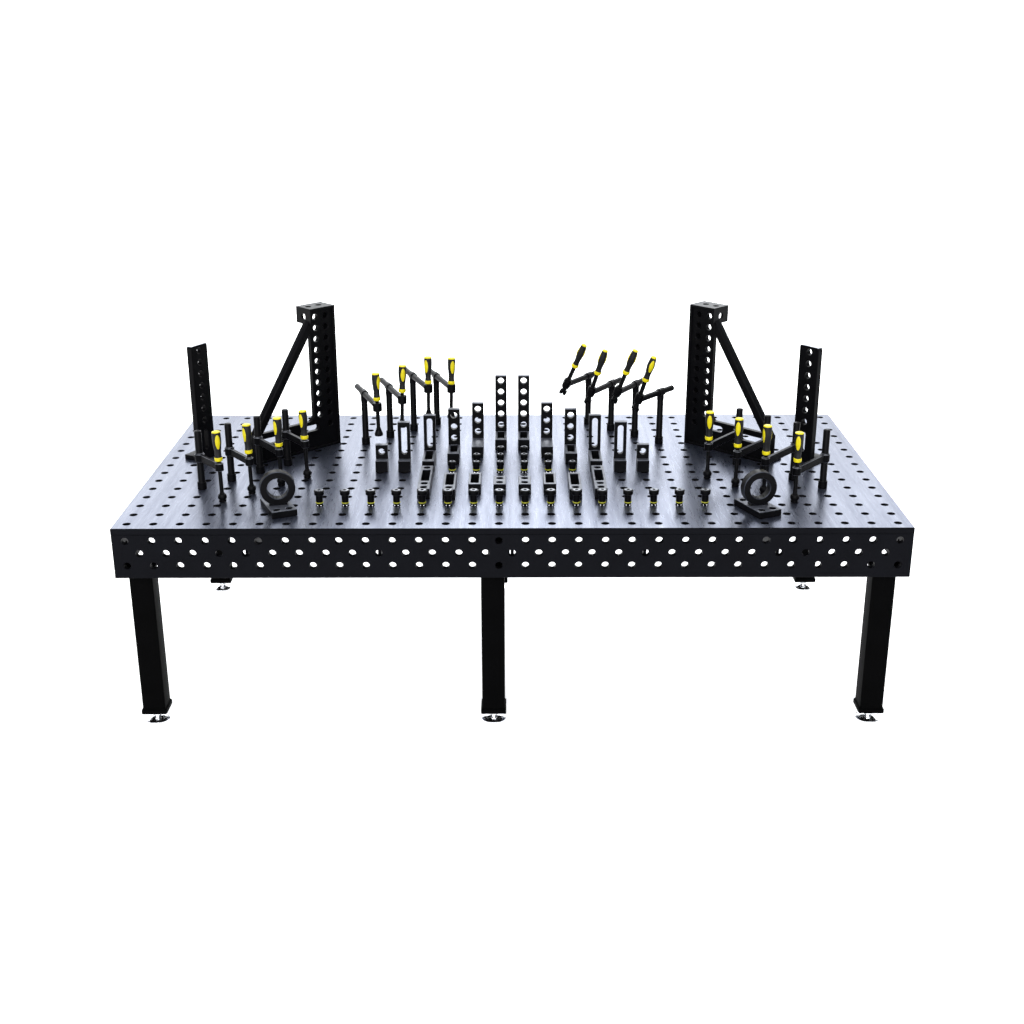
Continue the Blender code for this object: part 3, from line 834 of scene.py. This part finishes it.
def bracket_mesh(side):
    """A tall braced angle: x along its foot, z up, y across from the web's side; side is -1 or 1."""
    height, length, depth = BRACKET_HEIGHT, BRACKET_LENGTH, BRACKET_DEPTH
    foot, sheet, cap = BRACKET_FOOT, BRACKET_SHEET, BRACKET_CAP
    stand = turn_about("X", 90)
    half = sheet / 2
    web = [(half, half), (length - half, half), (length - half, foot), (depth + 0.02, foot),
           (depth - 0.001, foot + 0.02), (depth - 0.001, cap), (depth - half, cap),
           (depth - half, height - half), (half, height - half)]
    holes = [ring(0.098, BRACKET_FIRST_HOLE - i * BRACKET_PITCH, BRACKET_HOLE) for i in range(10)]
    holes += [ring(0.045, BRACKET_FIRST_HOLE - i * BRACKET_PITCH, BRACKET_HOLE) for i in range(11)]
    holes.append(slot(0.122, 0.184, 0.096, BORE))
    holes.append(slot(0.307, 0.404, 0.088, BORE))
    parts = [moved(plate(web, holes, 0.020, 0.001), shift(0, side * 0.020, 0) @ stand)]
    parts.append(block((half, side * 0.032 - 0.002, half), (0.068, side * 0.032 + 0.002, height - half)))
    near, far = sorted((side * 0.001, side * BRACKET_TOE_WIDTH))
    parts.append(block((length - sheet, near, 0.002), (length - 0.0005, far, BRACKET_TOE_HEIGHT), 0.0015))
    start = Vector((0.116, 0, height - 0.062))
    run = Vector((length - 0.013, 0, 0.105)) - start
    brace = block((-BRACE_HALF, -BRACE_HALF, 0), (BRACE_HALF, BRACE_HALF, run.length), 0.004, 3)
    lean = Matrix.Rotation(math.atan2(run.x, run.z), 4, "Y")
    parts.append(moved(brace, shift(start.x, side * 0.0295, start.z) @ lean))
    strip = [(length, 0), (0, 0), (0, height), (depth, height), (depth, BRACKET_LIP),
             (depth - sheet, BRACKET_LIP), (depth - sheet, height - sheet), (sheet, height - sheet),
             (sheet, sheet), (length, sheet)]
    wide = side * BRACKET_WIDTH / 2
    flange = moved(plate(strip, [], BRACKET_WIDTH, 0.0012), shift(0, wide, 0) @ stand)
    return cut(joined(flange), bracket_cutters(wide)), joined(*parts)


def bracket_cutters(wide):
    """Two bores down through the cap and one through its lip."""
    high, low = BRACKET_HEIGHT + 0.02, BRACKET_HEIGHT - 0.03
    cutters = [tube((x, wide, low), (x, wide, high), BORE) for x in (0.048, 0.102)]
    cutters.append(tube((BRACKET_DEPTH - 0.03, wide, BRACKET_FIRST_HOLE),
                        (BRACKET_DEPTH + 0.02, wide, BRACKET_FIRST_HOLE), BORE))
    return cutters


def cut(mesh, tools):
    """The mesh with each tool taken out of it."""
    item = put(bpy.data.objects.new("cut", mesh))
    helpers = []
    for tool in tools:
        helper = put(bpy.data.objects.new("tool", tool))
        change = item.modifiers.new("cut", "BOOLEAN")
        change.operation = "DIFFERENCE"
        change.object = helper
        helpers.append(helper)
    made = evaluated_mesh(item)
    for helper in helpers:
        bpy.data.objects.remove(helper, do_unlink=True)
    return smooth(made)


def stop_meshes():
    """A tall drilled stop: x across, z up, its front face at y = 0, and the foot behind it."""
    half, thick, corner = STOP_HALF, STOP_THICKNESS, STOP_CORNER
    holes = [ring(0, 0.175 + i * 0.05, BORE) for i in range(7)]
    holes.append(upright_slot(0.0425, 0.1325, 0.0125))
    outline = [(-half, 0), (half, 0)]
    outline += arc(half - corner, STOP_HEIGHT - corner, corner, 0, 90, 5)
    outline += arc(corner - half, STOP_HEIGHT - corner, corner, 90, 180, 5)
    upright = moved(plate(outline, holes, thick), shift(0, thick / 2, 0) @ turn_about("X", 90))
    foot = block((-half, thick - 0.002, 0), (half, thick + 0.06, 0.02), 0.001)
    return mark_top(upright, STOP_HEIGHT), foot


def body_place(node, x, y, heading):
    """On the table at x, y, turned by heading; the node's own box gives the height it stands at."""
    return shift(x, y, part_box(node)[0].z) @ turn_about("Z", heading)


def add_fixtures():
    for name, x, heading in (("left", -0.7631, 225), ("right", 0.7631, -45)):
        side = -1 if x < 0 else 1
        node = f"angle_bracket_{name}"
        flange, web = bracket_mesh(side)
        place = body_place(node, x, 0.3125, heading)
        piece(f"{node}_flange", flange, [BLACK], place, "root", [node])
        piece(f"{node}_web", web, [BLACK], place, "root")
    for name, x, y, heading in (("left", -1.3074, 0.0893, 61.4), ("right", 1.2308, 0.0421, -51.1)):
        node = f"tall_stop_{name}"
        upright, foot = stop_meshes()
        place = body_place(node, x, y, heading)
        # The stop's upward top faces take the very light paint, a painted highlight
        piece(f"{node}_plate", upright, [BLACK, BRIGHT_TOP_HIGHLIGHT], place, "root", [node])
        piece(f"{node}_foot", foot, [BLACK], place, "root")


def mark_top(mesh, level):
    """Faces that look up, at this height, take the second material: a lighter paint, a painted highlight on
    the top.
    """
    for face in mesh.polygons:
        high = face.center.z > level - 0.002
        face.material_index = 1 if high and face.normal.z > 0.5 else 0
    return mesh


# ---- squares, straps, bolts and rings ------------------------------------------------------

def square_mesh(height, depth, holes, window):
    """A stop square, 50 mm wide: the upright's front face is at y = 0 and its foot runs to -depth."""
    half = WIDE / 2
    thick = SQUARE_THICKNESS
    stand = shift(0, thick / 2, 0) @ turn_about("X", 90)
    upright = moved(plate(rectangle(-half, 0.0, half, height), holes, thick, 0.0015), stand)
    inside = []
    if window:
        inside = [round_rectangle(-half + 0.010, -depth + 0.026, half - 0.010, -0.004, 0.004)]
    foot = plate(rectangle(-half, -depth, half, thick - 0.001), inside, SQUARE_FOOT, 0.0015)
    foot = moved(foot, shift(0, 0, SQUARE_FOOT / 2))
    return joined(mark_top(foot, SQUARE_FOOT), mark_top(upright, height))


def bored(count):
    return [ring(0, 0.08 + i * 0.05, BORE) for i in range(count)]


def slotted(low, high):
    return [upright_slot(low, high, 0.0125)]


# column, y of the upright's front face, height, length of the foot, holes, window in the foot
SQUARES = (
    ("square_1", 0.05, 0.320, 0.303, 0.125, bored(5), True),
    ("square_2", 0.15, 0.220, 0.208, 0.127, bored(3), False),
    ("square_3", 0.25, 0.125, 0.208, 0.125, bored(3), True),
    ("square_4", 0.35, 0.045, 0.204, 0.147, slotted(0.061, 0.191), True),
    ("square_5", 0.45, -0.070, 0.208, 0.030, slotted(0.068, 0.194), False),
    ("square_6", 0.545, -0.070, 0.110, 0.030, bored(1), False),
)

# column, front and back, holes (y of each), window (front, back)
STRAPS = (
    ("strap_1", 0.05, -0.380, -0.280, (-0.355, -0.305), None),
    ("strap_2", 0.15, -0.378, -0.235, (), (-0.362, -0.252)),
    ("strap_3", 0.25, -0.440, -0.235, (-0.415,), (-0.385, -0.252)),
    ("strap_4", 0.35, -0.434, -0.145, (-0.412, -0.366, -0.170), (-0.335, -0.200)),
)


def strap_mesh(front, back, holes, window):
    half = WIDE / 2
    loops = [ring(0, y, BORE) for y in holes]
    if window:
        loops.append(round_rectangle(-half + 0.009, window[0], half - 0.009, window[1], 0.004))
    mesh = plate(rectangle(-half, front, half, back), loops, STRAP_HEIGHT, 0.0015)
    return mark_top(moved(mesh, shift(0, 0, STRAP_HEIGHT / 2)), STRAP_HEIGHT)


def add_squares():
    lift = TOP + GAP
    for side, hand in ((-1, "left"), (1, "right")):
        for name, x, y, height, depth, holes, window in SQUARES:
            mesh = square_mesh(height, depth, holes, window)
            # The upward top faces take the lighter top paint, a painted highlight
            piece(f"{name}_{hand}", mesh, [BLACK, TOP_FACE_HIGHLIGHT], shift(side * x, y, lift), "root")
        for name, x, front, back, holes, window in STRAPS:
            mesh = strap_mesh(front, back, holes, window)
            # The upward top faces take the lighter top paint, a painted highlight
            piece(f"{name}_{hand}", mesh, [BLACK, TOP_FACE_HIGHLIGHT], shift(side * x, 0, lift), "root")


def bolt_mesh(top, head):
    """A clamping bolt in a bore: a turned head with a round socket, and the neck and shank below it."""
    socket = BOLT_SOCKET
    knurl = lathe([(0, top - 0.006), (socket, top - 0.006), (socket, top - 0.0005), (0.0066, top),
                   (head - 0.0055, top), (head, top - 0.003), (head, top - 0.006),
                   (head - 0.001, top - 0.007), (head - 0.001, top - 0.018), (head - 0.004, top - 0.021),
                   (0, top - 0.021)], 40)
    neck = lathe([(0, top - 0.020), (0.0136, top - 0.020), (0.0136, 0.020), (0.0132, 0.019),
                  (0.0132, 0.0085), (0.0128, 0.0075), (0.0128, -0.028), (0.0110, -0.031), (0, -0.031)], 32)
    return knurl, neck


def add_bolt(name, x, y, top, head):
    knurl, neck = bolt_mesh(top, head)
    at = shift(x, y, TOP)
    # The head's top ring takes the lighter edge paint, a painted highlight
    piece(f"{name}_body", mark_bolt(joined(knurl, neck), top), [BLACK, EDGE_HIGHLIGHT], at, "root")
    seal = bpy.data.curves.new("seal", "CURVE")
    seal.dimensions = "3D"
    seal.bevel_depth = 0.0024
    seal.bevel_resolution = 3
    add_loop(seal, ring(0, 0, SEAL_RADIUS, 32), SEAL_HEIGHT)
    mesh = evaluated_mesh(put(bpy.data.objects.new("seal", seal)))
    piece(f"{name}_seal", smooth(mesh), [SEAL], at, "root")
    balls = []
    for turn in (-125, -55, 90):
        angle = math.radians(turn)
        balls.append(moved(ball(0.0034, 0.0030, 14),
                           shift(0.0112 * math.cos(angle), 0.0112 * math.sin(angle), 0)))
    piece(f"{name}_balls", joined(*balls), [CHROME], at, "root")


def mark_bolt(mesh, top):
    """The head's flat top ring takes the second material: a lighter paint, a painted highlight."""
    for face in mesh.polygons:
        face.material_index = 1 if face.center.z > top - 0.001 and face.normal.z > 0.9 else 0
    return mesh


def add_bolts():
    for i, x in enumerate(grid_lines(1.6)):
        add_bolt(f"bolt_front_{i + 1}", x, -0.5, 0.065, 0.0203)
    rows = {0.05: (0.1, 0.0, -0.1), 0.15: (0.0, -0.1), 0.25: (-0.1,)}
    for side, hand in ((-1, "left"), (1, "right")):
        for x, places in rows.items():
            for y in places:
                add_bolt(f"bolt_{hand}_{round(x * 100)}_{round(y * 10) + 5}", side * x, y, 0.050, 0.0165)


def add_rings():
    """Two heavy rings, each on its drilled block."""
    stand = turn_about("X", 90)
    for hand, x, y in (("left", -0.9007, -0.553), ("right", 0.944, -0.563)):
        at = shift(x, y, TOP + GAP)
        holes = [ring(dx, dy, 0.0135) for dx in (-0.0245, 0.0245) for dy in (-0.063, 0.063)]
        base = moved(plate(rectangle(-0.049, -0.0875, 0.049, 0.0875), holes, BLOCK_HEIGHT, 0.0015),
                     shift(0, 0, BLOCK_HEIGHT / 2))
        # The block's upward top faces take the lighter top paint, a painted highlight
        piece(f"ring_block_{hand}", mark_top(base, BLOCK_HEIGHT), [BLACK, TOP_FACE_HIGHLIGHT],
              at @ turn_about("Z", 24.5), "root")
        faced = at @ turn_about("Z", 12)
        saddle = [(-0.036, 0), (0.036, 0), (0.029, 0.012)] + arc(0, RING_HEIGHT, 0.0655, -62, -118, 10)
        saddle += [(-0.029, 0.012)]
        cradle = moved(plate(saddle, [], 0.036, 0.001), shift(0, 0, BLOCK_HEIGHT) @ stand)
        piece(f"ring_cradle_{hand}", cradle, [BLACK], faced, "root")
        body = moved(plate(ring(0, 0, RING_RADIUS, 72), [ring(0, 0, 0.0405, 60)], 0.038, 0.0025), stand)
        body = moved(mark(body, 1), shift(0, 0, BLOCK_HEIGHT + RING_HEIGHT))
        # The ring's chamfers take the lighter rim paint, partly a painted highlight
        piece(f"ring_{hand}", body, [BLACK, RIM_GROUND_AND_HIGHLIGHT, BLACK], faced, "root")


# ---- the studio ----------------------------------------------------------------------------

def add_floor():
    """A pale floor and four far backdrops of the same paint; only the one at the back is reflected."""
    paint = make_floor_paint()
    places = [("floor", Matrix.Identity(4))]
    for side, turn in (("back", 0), ("left", 90), ("front", 180), ("right", 270)):
        upright = shift(0, BACKDROP_DISTANCE, 0) @ turn_about("X", 90)
        places.append((f"backdrop_{side}", turn_about("Z", turn) @ upright))
    for name, place in places:
        mesh = bpy.data.meshes.new(name)
        shape = bmesh.new()
        bmesh.ops.create_grid(shape, x_segments=2, y_segments=2, size=STAGE_HALF, matrix=place)
        shape.to_mesh(mesh)
        shape.free()
        stage = put(bpy.data.objects.new(name, mesh))
        mesh.materials.append(paint)
        stage.visible_diffuse = False
        stage.visible_glossy = name in ("floor", "backdrop_back")
        stage.visible_shadow = name == "floor"


def add_light(name, kind, energy, place, target=TARGET):
    """A light at place that shines towards target and isn't seen by the camera."""
    light = bpy.data.lights.new(name, kind)
    light.energy = energy
    item = put(bpy.data.objects.new(name, light))
    item.location = place
    aim = Vector(target) - Vector(place)
    item.rotation_euler = aim.to_track_quat("-Z", "Y").to_euler()
    item.visible_camera = False
    return item


def add_sun(name, energy, place, target=TARGET):
    add_light(name, "SUN", energy, place, target).data.angle = SUN_ANGLE


def add_panel(name, energy, x, y, width):
    item = add_light(name, "AREA", energy, (x, y, PANEL_HEIGHT))
    item.data.color = PANEL_COLOUR
    item.data.shape = "RECTANGLE"
    item.data.size = width
    item.data.size_y = PANEL_SIDE
    return item


def add_studio():
    add_floor()
    add_sun("overhead", 2.2, (0, 0.6, 6), (0, 0, 0))
    add_sun("front", 2.4, (-1.0, -6, 3.2))
    add_panel("wide_panel", 400, 0, 7.5, 12.0)
    add_panel("middle_panel", 95, 0.5, 7.4, 4.0)
    add_panel("front_panel", 400, 0, -7.5, 12.0).visible_diffuse = False
    world = bpy.data.worlds.new("studio")
    bpy.context.scene.world = world
    world.use_nodes = True
    back = world.node_tree.nodes["Background"]
    back.inputs["Color"].default_value = (0.80, 0.85, 0.95, 1)
    back.inputs["Strength"].default_value = 0.3
    bpy.context.scene.view_settings.view_transform = "Standard"


def add_camera():
    camera = bpy.data.cameras.new("camera")
    camera.lens = 48.18
    camera.sensor_width = 36.0
    item = put(bpy.data.objects.new("camera", camera))
    item.location = (0.0087, -5.5144, 2.6841)
    item.rotation_euler = (1.2152, 0.0022, 0.0011)
    bpy.context.scene.camera = item


add_camera()
add_studio()
add_box()
add_ribs()
add_legs()
add_clamps()
add_fixtures()
add_squares()
add_bolts()
add_rings()
